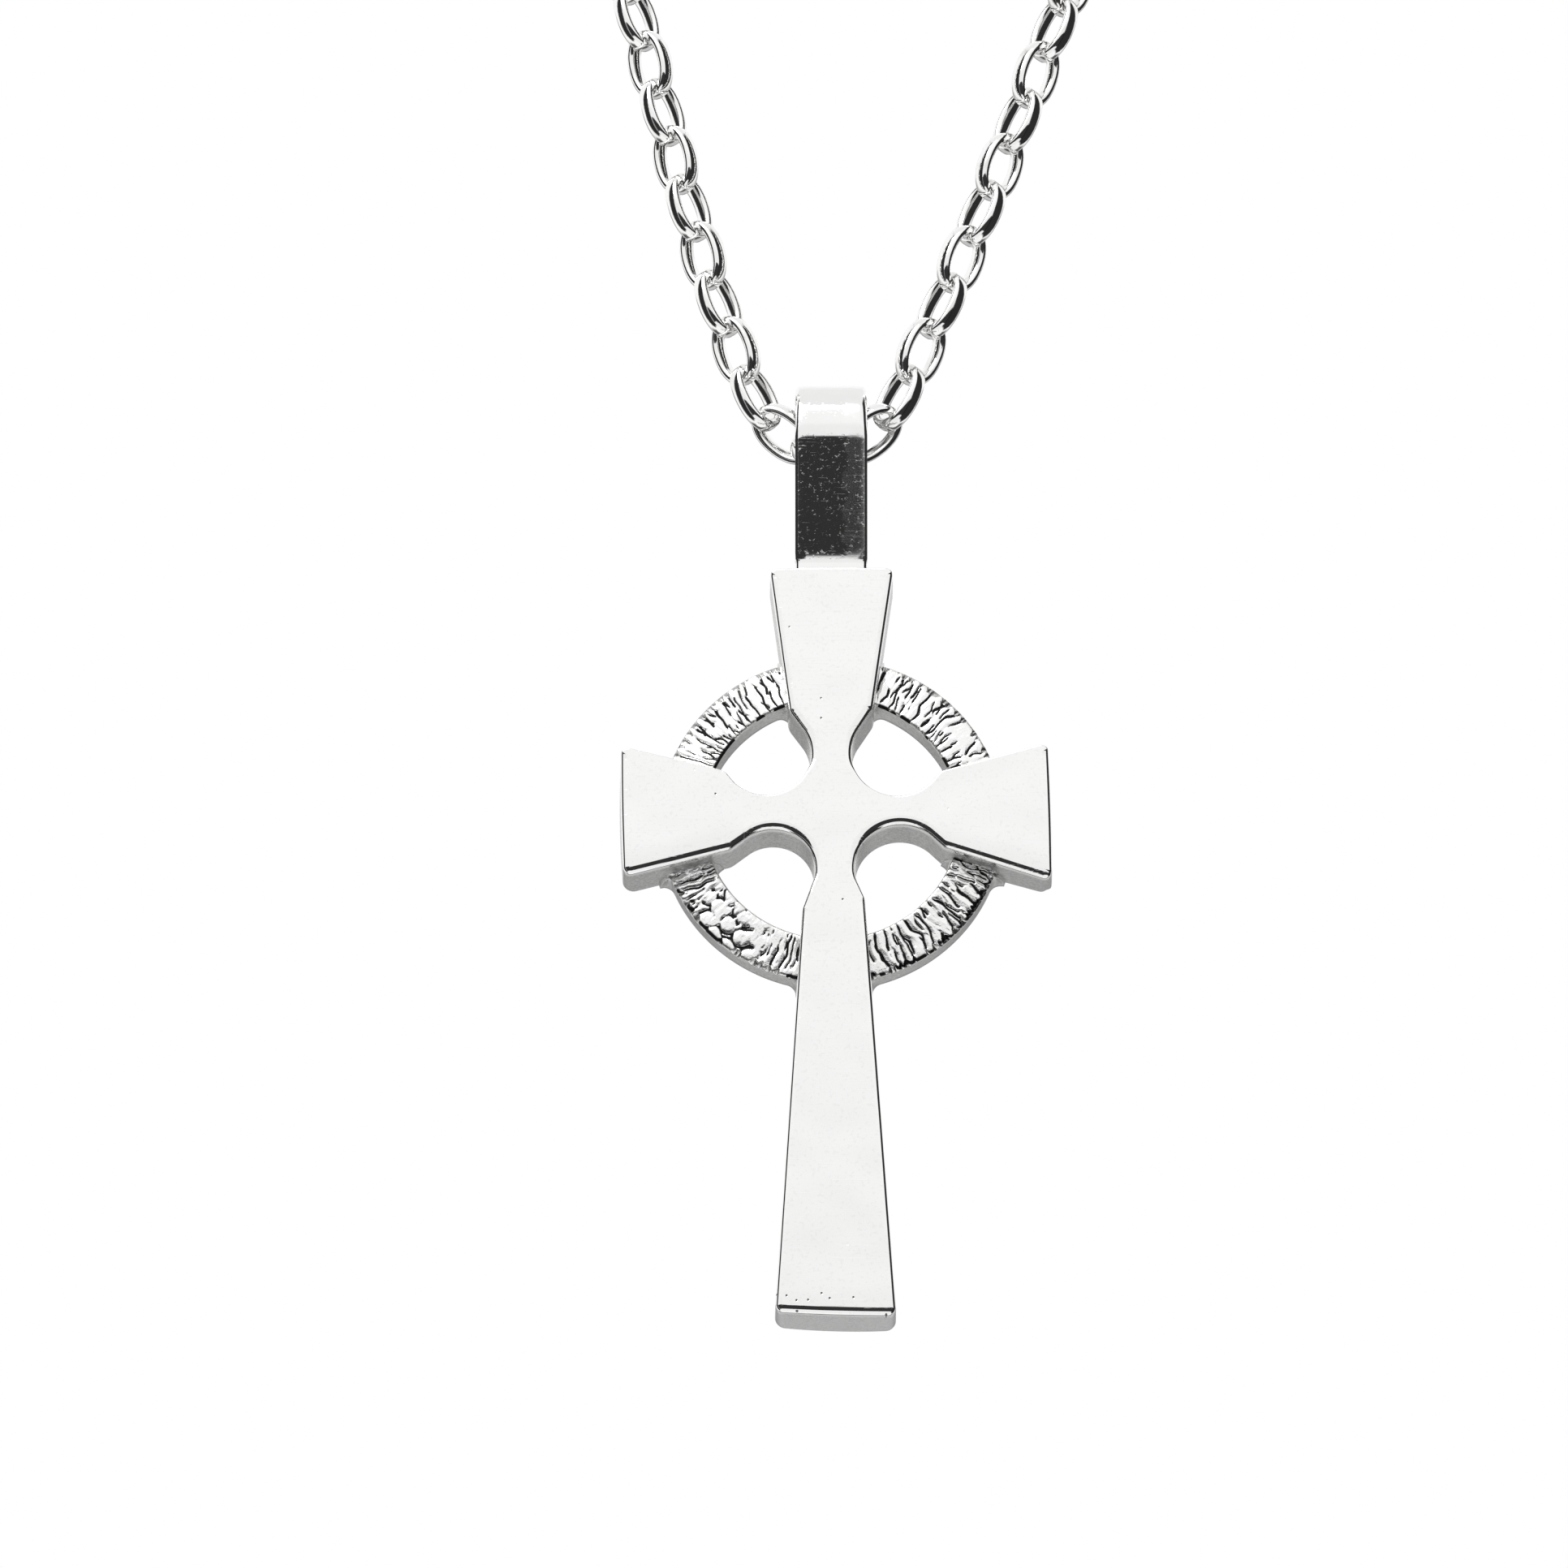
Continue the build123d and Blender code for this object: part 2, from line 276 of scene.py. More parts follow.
class Graph:
    """Makes the nodes of one shader or geometry tree."""

    def __init__(self, tree):
        self.tree = tree

    def make(self, kind, settings, sockets):
        """A node: its settings first, then the values or links of its sockets."""
        node = self.tree.nodes.new(kind)
        for name, value in settings.items():
            setattr(node, name, value)
        for key, value in sockets.items():
            socket = pick(node.inputs, key)
            if isinstance(value, Value):
                self.tree.links.new(value.socket, socket)
            else:
                socket.default_value = value
        return node

    def value(self, kind, settings, sockets, output=0):
        node = self.make(kind, settings, sockets)
        return Value(self, pick(node.outputs, output))

    def math(self, operation, *values):
        return self.value("ShaderNodeMath", {"operation": operation}, dict(enumerate(values)))

    def ease(self, value, low, high):
        """0 below low and 1 above high, with a smooth step between."""
        sockets = {"Value": value, "From Min": low, "From Max": high}
        return self.value("ShaderNodeMapRange", {"interpolation_type": "SMOOTHSTEP"}, sockets)

    def mix(self, factor, low, high):
        """A blend of two colours."""
        sockets = {"Factor": factor, "A": low, "B": high}
        return self.value("ShaderNodeMix", {"data_type": "RGBA"}, sockets, "Result")

    def noise(self, vector, scale, detail=2.0, roughness=0.5):
        sockets = {"Vector": vector, "Scale": scale, "Detail": detail, "Roughness": roughness}
        return self.value("ShaderNodeTexNoise", {}, sockets)

    def attribute(self, name):
        """A number that the piece's own points hold, in a shader."""
        return self.value("ShaderNodeAttribute", {"attribute_name": name}, {}, "Fac")

    def point_attribute(self, name, kind):
        """What the piece's own points hold, in a geometry tree."""
        settings = {"data_type": kind}
        return self.value("GeometryNodeInputNamedAttribute", settings, {"Name": name}, "Attribute")

    def parts(self, vector):
        """The three parts of a vector."""
        node = self.make("ShaderNodeSeparateXYZ", {}, {0: vector})
        return [Value(self, node.outputs[axis]) for axis in range(3)]

    def joined(self, across, deep, up):
        return self.value("ShaderNodeCombineXYZ", {}, {0: across, 1: deep, 2: up})

    def in_millimetres(self, vector):
        sockets = {"Vector": vector, "Scale": 1 / MM}
        return self.value("ShaderNodeVectorMath", {"operation": "SCALE"}, sockets)


def pick(sockets, key):
    """A node's socket by its place or by its name, unused ones left out."""
    if isinstance(key, int):
        return sockets[key]
    return next(socket for socket in sockets if socket.name == key and socket.enabled)


# Materials
def new_material(name):
    """An empty material, its graph and the object's coordinates in millimetres."""
    material = bpy.data.materials.new(name)
    material.use_nodes = True
    material.node_tree.nodes.clear()
    graph = Graph(material.node_tree)
    place = graph.value("ShaderNodeTexCoord", {}, {}, "Object")
    return material, graph, graph.in_millimetres(place)


def finish_material(graph, sockets):
    shader = graph.value("ShaderNodeBsdfPrincipled", {}, sockets)
    graph.make("ShaderNodeOutputMaterial", {}, {"Surface": shader})


def finish_silver(graph, colour, roughness, height, strength, distance):
    """Bare metal with a fine relief, whose strength is a share and whose distance is in mm."""
    relief = {"Strength": strength, "Distance": distance * MM, "Height": height}
    bump = graph.value("ShaderNodeBump", {}, relief)
    finish_material(
        graph,
        {"Base Color": colour, "Metallic": 1.0, "Roughness": roughness, "Normal": bump},
    )


def scratches(graph, place, turn, fine):
    """Thin straight polishing lines that run at one angle, 0 between them and 1 on them."""
    along, aside = 0.35 * fine, 9 * fine
    sockets = {"Vector": place, "Rotation": (0, radians(turn), 0), "Scale": (along, fine, aside)}
    seat = graph.value("ShaderNodeMapping", {"vector_type": "POINT"}, sockets)
    return graph.ease(graph.noise(seat, scale=1.0, detail=3.0, roughness=0.6), 0.62, 0.72)


def cast_colour(graph, grain):
    """The colour of a cast wall, by its grain."""
    return graph.mix(graph.ease(grain, 0.4, 0.6), DARK_GRAIN, LIGHT_GRAIN)


def face_roll(across, up):
    """How far the polished face has rolled over, from 0 to 1 at its lower edges."""
    reach = abs(across - CROSSING.x)
    above = up - CROSSING.z
    out_of_the_way = 30
    slope = (reach - ARM_EDGE_START).larger(0.0) * ARM_EDGE_SLOPE
    arm_edge = (above + ARM_EDGE_DROP + slope) + (reach < SHAFT_REACH) * out_of_the_way
    foot_edge = above + FOOT_EDGE_DROP
    return (1 - arm_edge.smaller(foot_edge) / ROLL_WIDTH).clamped()


def casting_pits(graph, across, up, low_on_foot):
    """A few small round pits, more of them at the end of the foot."""
    cells_to_mm, hollow, rim = 2.3, 0.06, 0.13
    rare, rarest, foot_gain = 0.988, 0.995, 0.42
    spots = {"Vector": graph.joined(across, up, 0.0), "Scale": cells_to_mm}
    cells = graph.make("ShaderNodeTexVoronoi", {"voronoi_dimensions": "2D"}, spots)
    chance = graph.parts(Value(graph, cells.outputs["Color"]))[0]
    pit = 1 - graph.ease(Value(graph, cells.outputs["Distance"]), hollow, rim)
    return pit * graph.ease(chance + low_on_foot * foot_gain, rare, rarest)


def polished_silver():
    """Mirror-polished cross: faint polishing lines on the face, satin cast walls, casting pits."""
    material, graph, place = new_material("polished_silver")
    satin = graph.attribute("satin")
    across, _, up = graph.parts(place)
    low_on_foot = 1 - graph.ease(up, CROSSING.z - FOOT_END[0], CROSSING.z - FOOT_END[1])
    grain = graph.noise(place, scale=8.0, detail=4.0, roughness=0.65)
    specks = graph.ease(graph.noise(place, scale=7.0), 0.56, 0.68)
    soft_wave = graph.noise(place, scale=0.35, detail=1.0)
    lines = scratches(graph, place, 24, 1.6) + scratches(graph, place, -38, 1.2)
    pits = casting_pits(graph, across, up, low_on_foot) * (1 - satin)
    roll = face_roll(across, up)
    height = satin * grain * 1.8 + (1 - satin) * lines * 0.05 - pits * 2.0
    height = height + (soft_wave * 3.0 - roll * roll * 1.9) * (1 - satin)
    dull = satin * (1 - low_on_foot * 0.8)
    colour = graph.mix(dull, graph.mix(specks, BRIGHT, HAZY), cast_colour(graph, grain))
    colour = graph.mix(pits, colour, PIT_COLOUR)
    roughness = dull * 0.26 + 0.045 + lines * 0.03 + soft_wave * 0.02 + pits * 0.4
    finish_silver(graph, colour, roughness, height, strength=0.35, distance=0.05)
    return material


def bark_silver():
    """Bright bark ribs on the ring, painted shade in the crevices and on rims facing down, satin
    walls.
    """
    material, graph, place = new_material("bark_silver")
    satin = graph.attribute("satin")
    grain = graph.noise(place, scale=9.0, detail=4.0, roughness=0.65)
    # Painted shade: the crevice mask darkens the bark to near black and roughens it, in the
    # crevices and on rims facing down
    crevice = graph.ease(graph.attribute("crevice"), 0.15, 0.55)
    painted_shade = (crevice * (0.8 + grain * 0.5)).clamped()
    colour = graph.mix(satin, BRIGHT, cast_colour(graph, grain))
    colour = graph.mix(painted_shade, colour, PAINTED_SHADE_COLOUR)
    roughness = satin * 0.16 + 0.16 + painted_shade * 0.3
    finish_silver(graph, colour, roughness, grain, strength=0.3, distance=0.05)
    return material


def strap_silver():
    """Polished strap with a few fine brushing lines, small dents, and a rubbed right side."""
    material, graph, place = new_material("strap_silver")
    across = graph.parts(place)[0]
    lines = scratches(graph, place, 74, 2.6)
    haze = graph.noise(place, scale=1.4, detail=3.0)
    specks = graph.ease(graph.noise(place, scale=6.5, detail=3.0, roughness=0.6), 0.58, 0.72)
    rubbed = graph.ease(across + haze * 1.2, 1.05, 1.2)
    height = lines * 0.2 + specks
    colour = graph.mix(haze, BRIGHT, HAZY)
    roughness = 0.04 + haze * 0.04 + lines * 0.03 + specks * 0.1 + rubbed * 0.06
    finish_silver(graph, colour, roughness, height, strength=0.085, distance=0.02)
    return material


def chain_silver(name, wear):
    """Polished wire with a fine grain and a little tarnish, more of it with more wear."""
    material, graph, place = new_material(name)
    cloud = graph.noise(place, scale=0.9, detail=3.0)
    fine = graph.noise(place, scale=11.0, detail=3.0)
    tarnish = graph.ease(cloud, 0.52, 0.78) * wear
    colour = graph.mix(tarnish, BRIGHT, TARNISH_COLOUR)
    roughness = 0.06 + cloud * 0.05 + tarnish * 0.12
    finish_silver(graph, colour, roughness, fine, strength=0.05, distance=0.03)
    return material


# Meshes
def add_object(name, data):
    thing = bpy.data.objects.new(name, data)
    bpy.context.scene.collection.objects.link(thing)
    return thing


def new_piece(name, points, faces, material, floats=None):
    """A smooth piece from points in millimetres, its faces turned outwards."""
    mesh = bpy.data.meshes.new(name)
    mesh.from_pydata((np.asarray(points, float) * MM).tolist(), [], faces)
    for label, values in (floats or {}).items():
        attribute = mesh.attributes.new(label, "FLOAT", "POINT")
        attribute.data.foreach_set("value", np.asarray(values, np.float32))
    work = bmesh.new()
    work.from_mesh(mesh)
    bmesh.ops.recalc_face_normals(work, faces=work.faces)
    for face in work.faces:
        face.smooth = len(face.verts) == 4
    work.to_mesh(mesh)
    work.free()
    mesh.materials.append(material)
    return add_object(name, mesh)


def loop_faces(rows, columns):
    """Quads between rows of points that each close on themselves."""
    faces = []
    for row in range(rows - 1):
        for column in range(columns):
            after = (column + 1) % columns
            first, second = row * columns, (row + 1) * columns
            faces.append((first + column, first + after, second + after, second + column))
    return faces


def arc_samples(centre, radius, start, end, convex, count):
    """Points of an arc with their outward normals, from one normal's angle to the other's."""
    samples = []
    for angle in np.linspace(start, end, count + 1):
        normal = (cos(angle), sin(angle))
        away = radius if convex else -radius
        samples.append((centre[0] + away * normal[0], centre[1] + away * normal[1], *normal))
    return samples


def turned(point, turn):
    cosine, sine = cos(radians(turn)), sin(radians(turn))
    across, along = point
    return np.array([across * cosine - along * sine, across * sine + along * cosine])


def tangent_point(corner, centre, radius, side):
    """Point where a line from the corner touches a circle, on the given side."""
    heading = np.asarray(corner) - centre
    turn = acos(radius / hypot(*heading)) * side
    angle = atan2(heading[1], heading[0]) + turn
    return np.asarray(centre) + radius * np.array([cos(angle), sin(angle)])


def arm_corners(arm, crown):
    turn, (first_shoulder, first_tip, last_tip, last_shoulder) = arm
    tip_middle = ((first_tip[0] + last_tip[0]) / 2 + crown, (first_tip[1] + last_tip[1]) / 2)
    corners = [first_shoulder, first_tip, tip_middle, last_tip, last_shoulder]
    return [turned(corner, turn) for corner in corners]


def rounded_run(points, radii, counts):
    """Samples along straight runs whose corners are rounded, travelled anticlockwise."""
    samples = []
    for before, corner, after, radius, count in zip(points, points[1:], points[2:], radii, counts):
        inward = (corner - before) / hypot(*(corner - before))
        outward = (after - corner) / hypot(*(after - corner))
        bend = atan2(inward[0] * outward[1] - inward[1] * outward[0], inward @ outward)
        side = 1 if bend > 0 else -1
        start = atan2(-inward[0], inward[1])
        arc_start = corner - inward * radius * tan(abs(bend) / 2)
        centre = arc_start - side * radius * np.array([cos(start), sin(start)])
        samples += arc_samples(centre, radius, start, start + bend, side > 0, count)
    return samples


def cross_outline(crown, corner_radius):
    """The cross's outline: across, along, and the outward normal."""
    counts = [CORNER_STEPS, CORNER_STEPS, CROWN_STEPS, CORNER_STEPS, CORNER_STEPS]
    samples = []
    for index, arm in enumerate(ARMS):
        corners = arm_corners(arm, crown)
        *hollow_before, radius_before = HOLLOWS[index - 1]
        *hollow, radius = HOLLOWS[index]
        start = tangent_point(corners[0], hollow_before, radius_before, 1)
        end = tangent_point(corners[-1], hollow, radius, -1)
        next_corner = arm_corners(ARMS[(index + 1) % len(ARMS)], crown)[0]
        next_start = tangent_point(next_corner, hollow, radius, 1)
        half_tip_width = (arm[1][2][1] - arm[1][1][1]) / 2
        crown_radius = CROWN_SHARE * half_tip_width**2 / crown
        radii = [SHOULDER_RADIUS, corner_radius, crown_radius, corner_radius, SHOULDER_RADIUS]
        samples += rounded_run([start, *corners, end], radii, counts)
        first = atan2(*(hollow - end)[::-1])
        last = atan2(*(hollow - next_start)[::-1])
        last = first - (first - last) % (2 * pi)
        samples += arc_samples(hollow, radius, first, last, False, HOLLOW_STEPS)[1:-1]
    return np.array(samples)


def rounded_edge(inset, drop, steps):
    """How far in from the wall and down from the face each ring of a rounded edge lies."""
    angles = np.linspace(0, pi / 2, steps + 1)
    return [(inset * (1 - sin(a)), drop * (1 - cos(a))) for a in angles]


def smooth_step(values, low, high):
    share = np.clip((values - low) / (high - low), 0, 1)
    return share * share * (3 - 2 * share)


def make_cross(material):
    """The cast cross: flat face, front edge worn most where it faces down, drafted walls."""
    face = cross_outline(*FACE_TIP)
    back = cross_outline(*BACK_TIP)
    normals = face[:, 2:]
    facing_up = smooth_step(normals[:, 1], *FACING)
    facing_down = smooth_step(-normals[:, 1], *FACING)
    facing_aside = 1 - facing_up - facing_down
    edge = np.outer(facing_up, EDGE_UP) + np.outer(facing_down, EDGE_DOWN)
    inset, drop = (edge + np.outer(facing_aside, EDGE_ASIDE)).T
    low_right = smooth_step(face[:, 0], *LOW_RIGHT_RANGE) * smooth_step(-normals[:, 1], 0.3, 0.8)
    slope = tan(radians(WALL_DRAFT))

    # Rings of points from the face to the back: how far out, how deep and how satin each is
    rings = []
    for inset_share, drop_share in rounded_edge(1, 1, FRONT_EDGE_STEPS):
        rings.append((-inset * inset_share, drop * drop_share, 0.0))
    for share in np.linspace(0, 1, WALL_STEPS + 1)[1:]:
        depth = drop + (THICKNESS - BACK_EDGE_RADIUS - drop) * share
        rings.append((depth * slope, depth, 1.0))
    back_edge = rounded_edge(BACK_EDGE_RADIUS, BACK_EDGE_RADIUS, BACK_EDGE_STEPS)
    for edge_inset, edge_drop in back_edge[::-1][1:]:
        depth = np.full(len(face), THICKNESS - edge_drop)
        rings.append((THICKNESS * slope - edge_inset, depth, 0.7))

    points, satin = [], []
    for growth, depth, finish in rings:
        share = (depth / THICKNESS)[:, None]
        growth = growth + low_right * (LOW_RIGHT_LEAN[0] - sum(LOW_RIGHT_LEAN) * share[:, 0])
        spots = face[:, :2] * (1 - share) + back[:, :2] * share + normals * growth[:, None]
        for (across, along), deep in zip(spots, CROSSING.y - THICKNESS / 2 + depth):
            points.append((CROSSING.x + across, deep, CROSSING.z + along))
            satin.append(finish)
    count = len(face)
    faces = loop_faces(len(rings), count)
    faces.append(tuple(range(count)))
    last = (len(rings) - 1) * count
    faces.append(tuple(range(last + count - 1, last - 1, -1)))
    return new_piece("cross_body", points, faces, material, {"satin": satin})


def arm_half_angle(arm, side, radius):
    """Angle from the arm's axis to one of its walls, where that wall crosses a circle."""
    first_shoulder, first_tip, last_tip, last_shoulder = arm[1]
    shoulder, tip = (last_shoulder, last_tip) if side > 0 else (first_shoulder, first_tip)
    share = (radius - shoulder[0]) / (tip[0] - shoulder[0])
    return asin(abs(shoulder[1] + (tip[1] - shoulder[1]) * share) / radius)


def fillet_growth(turn, radius):
    """How far a wall of the ring swells at this angle, where it runs into the nearest arm."""
    quarter = round(degrees(turn) / 90)
    away = turn - radians(90 * quarter)
    gap = radius * (abs(away) - arm_half_angle(ARMS[quarter % len(ARMS)], away, radius))
    gap = min(max(gap, 0), RING_FILLET)
    return RING_FILLET - sqrt(RING_FILLET**2 - (RING_FILLET - gap) ** 2)


def ring_section(turn):
    """The band at one angle: each point's radius, its depth, how satin it is and its bark."""
    inner, outer = RING_INNER_RADIUS, RING_OUTER_RADIUS
    inner_swell, outer_swell = fillet_growth(turn, inner), fillet_growth(turn, outer)
    back_inner, back_outer = inner - inner_swell, outer + outer_swell
    back = THICKNESS / 2 - RING_BACK_INSET
    inner_front = THICKNESS / 2 - RING_INNER_THICKNESS
    outer_front = THICKNESS / 2 - RING_OUTER_THICKNESS
    wall = np.linspace(0, 1, RING_WALL_STEPS + 1)
    edge = rounded_edge(RING_EDGE_RADIUS, RING_EDGE_RADIUS, RING_EDGE_STEPS)

    def edge_point(radius, front, drop):
        return radius, front + drop, 0.5, 0.5 * (1 - drop / RING_EDGE_RADIUS)

    section = []
    for share in (1, 0.66, 0.33, 0):
        section.append((back_inner + (back_outer - back_inner) * share, back, 1.0, 0.0))
    for share in wall[1:]:
        depth = back + (inner_front + RING_EDGE_RADIUS - back) * share
        section.append((inner - inner_swell * (1 - share**2), depth, 1.0, 0.0))
    for inset, drop in edge[::-1][1:]:
        section.append(edge_point(inner + inset, inner_front, drop))
    span = outer - inner - 2 * RING_EDGE_RADIUS
    for step in range(1, RING_FRONT_STEPS):
        share = step / RING_FRONT_STEPS
        radius = inner + RING_EDGE_RADIUS + span * share
        depth = inner_front + (outer_front - inner_front) * share
        bark = 0.5 + BARK_GROWTH * min(share, 1 - share)
        section.append((radius, depth, 0.0, min(1, bark)))
    for inset, drop in edge:
        section.append(edge_point(outer - inset, outer_front, drop))
    for share in wall[::-1][1:-1]:
        depth = back + (outer_front + RING_EDGE_RADIUS - back) * share
        section.append((outer + outer_swell * (1 - share**2), depth, 1.0, 0.0))
    return section


def make_ring(material):
    """The band of the ring, whose points hold how satin they are and how much bark they get."""
    points, satin, front = [], [], []
    for station in range(RING_STATIONS):
        turn = 2 * pi * station / RING_STATIONS
        for radius, depth, finish, bark in ring_section(turn):
            across, along = radius * cos(turn), radius * sin(turn)
            points.append((CROSSING.x + across, CROSSING.y + depth, CROSSING.z + along))
            satin.append(finish)
            front.append(bark)
    total = len(points)
    faces = loop_faces(RING_STATIONS + 1, total // RING_STATIONS)
    faces = [tuple(index % total for index in face) for face in faces]
    return new_piece("cross_ring", points, faces, material, {"satin": satin, "front": front})


def strap_outlines(tilt):
    """The strap from the side, outside and inside: depth, height and outward normal."""
    outer_eye = BAIL_EYE_RADIUS + STRAP_THICKNESS
    outer_foot = BAIL_FOOT_RADIUS + STRAP_THICKNESS
    front = pi + tilt
    foot_top = BAIL_FOOT_HEIGHT - outer_foot * (1 - cos(tilt)) / sin(tilt)
    front_normal = (cos(front), sin(front))
    back_normal = (cos(-tilt), sin(-tilt))

    def arc(radius, height, angles):
        return [(radius * cos(a), height + radius * sin(a), cos(a), sin(a)) for a in angles]

    def side_run(low, high, normal):
        low, high = np.array(low), np.array(high)
        shares = (SIDE_CREASE, *np.linspace(0, 1, SIDE_STEPS + 1)[1:-1], 1 - SIDE_CREASE)
        return [(*(low + (high - low) * share), *normal) for share in shares]

    def eye_end(radius):
        return radius * front_normal[0], PIVOT_HEIGHT + radius * front_normal[1]

    eye_angles = np.linspace(front, -tilt, EYE_STEPS + 1)
    foot_heights = np.linspace(STRAP_END_HEIGHT, foot_top - FOOT_CREASE, FOOT_STEPS + 1)
    depth, height = eye_end(outer_eye)
    outer = [(-outer_foot, low, -1.0, 0.0) for low in foot_heights]
    outer += side_run((-outer_foot, foot_top), (depth, height), front_normal)
    outer += arc(outer_eye, PIVOT_HEIGHT, eye_angles)
    outer += side_run((-depth, height), (outer_foot, foot_top), back_normal)
    outer += [(outer_foot, low, 1.0, 0.0) for low in foot_heights[::-1]]

    front_foot = np.linspace(1.5 * pi, front, FOOT_STEPS + 1)
    back_foot = np.linspace(-tilt, -0.5 * pi, FOOT_STEPS + 1)[:-1]
    inner = arc(BAIL_FOOT_RADIUS, BAIL_FOOT_HEIGHT, front_foot)
    foot_depth, foot_height = inner[-1][:2]
    depth, height = eye_end(BAIL_EYE_RADIUS)
    inner += side_run((foot_depth, foot_height), (depth, height), front_normal)
    inner += arc(BAIL_EYE_RADIUS, PIVOT_HEIGHT, eye_angles)
    inner += side_run((-depth, height), (-foot_depth, foot_height), back_normal)
    inner += arc(BAIL_FOOT_RADIUS, BAIL_FOOT_HEIGHT, back_foot)
    inner.append((STRAP_SLIT, BAIL_FOOT_HEIGHT - BAIL_FOOT_RADIUS, 0, -1))
    return outer, inner


def make_bail(material):
    """The strap, bent round the chain link and soldered on the top end of the cross."""
    tilt = asin((BAIL_EYE_RADIUS - BAIL_FOOT_RADIUS) / (PIVOT_HEIGHT - BAIL_FOOT_HEIGHT))
    half = BAIL_WIDTH / 2
    bevel = [((1 - share) * BAIL_BEVEL[0], share * BAIL_BEVEL[1]) for share in BEVEL_STEPS]
    worn_edge = rounded_edge(*BAIL_WORN_EDGE, len(BEVEL_STEPS) - 1)
    edges = np.array([bevel, worn_edge])
    stations = [(-1, step) for step in range(len(BEVEL_STEPS))]
    stations += [(0, share) for share in np.linspace(-1, 1, FLAT_STEPS + 1)[1:-1]]
    stations += [(1, step) for step in range(len(BEVEL_STEPS))[::-1]]

    def strap_rows(samples, outwards):
        """The strap's points at each station across its width, sunk by the edge at its sides."""
        points = []
        for side, step in stations:
            for depth, height, out_depth, out_up in samples:
                worn = smooth_step(out_up, -sin(tilt), 0.1) * (outwards > 0)
                blended = edges[0] * (1 - worn) + edges[1] * worn
                sunk, width = blended[step] if side else (0, blended[-1][1])
                across = side * (half - width) if side else step * (half - width)
                sunk = sunk * outwards
                points.append((across, depth - sunk * out_depth, height - sunk * out_up))
        return points

    outer, inner = strap_outlines(tilt)
    points = np.array(strap_rows(outer, 1) + strap_rows(inner, -1)) + np.array(CROSSING)
    rows, count = len(stations), len(outer)
    faces = loop_faces(rows, count)
    faces += [tuple(index + rows * count for index in face) for face in loop_faces(rows, count)]
    for row in (0, rows - 1):
        for column in range(count):
            after = (column + 1) % count
            outer_row, inner_row = row * count, (rows + row) * count
            first, second = outer_row + column, outer_row + after
            faces.append((first, second, inner_row + after, inner_row + column))
    return new_piece("bail", points, faces, material)


# Geometry trees
def new_tree(name, inputs):
    """A new geometry tree, and the values that its named inputs give."""
    tree = bpy.data.node_groups.new(name, "GeometryNodeTree")
    tree.interface.new_socket("Geometry", in_out="INPUT", socket_type="NodeSocketGeometry")
    for label, kind in inputs:
        tree.interface.new_socket(label, in_out="INPUT", socket_type="NodeSocket" + kind)
    tree.interface.new_socket("Geometry", in_out="OUTPUT", socket_type="NodeSocketGeometry")
    graph = Graph(tree)
    start = graph.make("NodeGroupInput", {}, {})
    return graph, {socket.name: Value(graph, socket) for socket in start.outputs if socket.name}


def end_tree(graph, geometry, material):
    """Makes the tree's shape plain geometry in one material, and puts that out."""
    whole = graph.value("GeometryNodeRealizeInstances", {}, {"Geometry": geometry})
    painted = graph.value("GeometryNodeSetMaterial", {}, {"Geometry": whole, "Material": material})
    graph.make("NodeGroupOutput", {}, {"Geometry": painted})


def run_tree(piece, tree, values):
    """Runs a geometry tree on a piece and keeps the result as the piece's own plain mesh."""
    modifier = piece.modifiers.new("shape", "NODES")
    modifier.node_group = tree
    for item in tree.interface.items_tree:
        if item.item_type == "SOCKET" and item.in_out == "INPUT" and item.name in values:
            modifier[item.identifier] = values[item.name]
    bpy.context.view_layer.update()
    evaluated = piece.evaluated_get(bpy.context.evaluated_depsgraph_get())
    mesh = bpy.data.meshes.new_from_object(evaluated)
    piece.modifiers.remove(modifier)
    old = piece.data
    piece.data = mesh
    bpy.data.meshes.remove(old)
    return piece


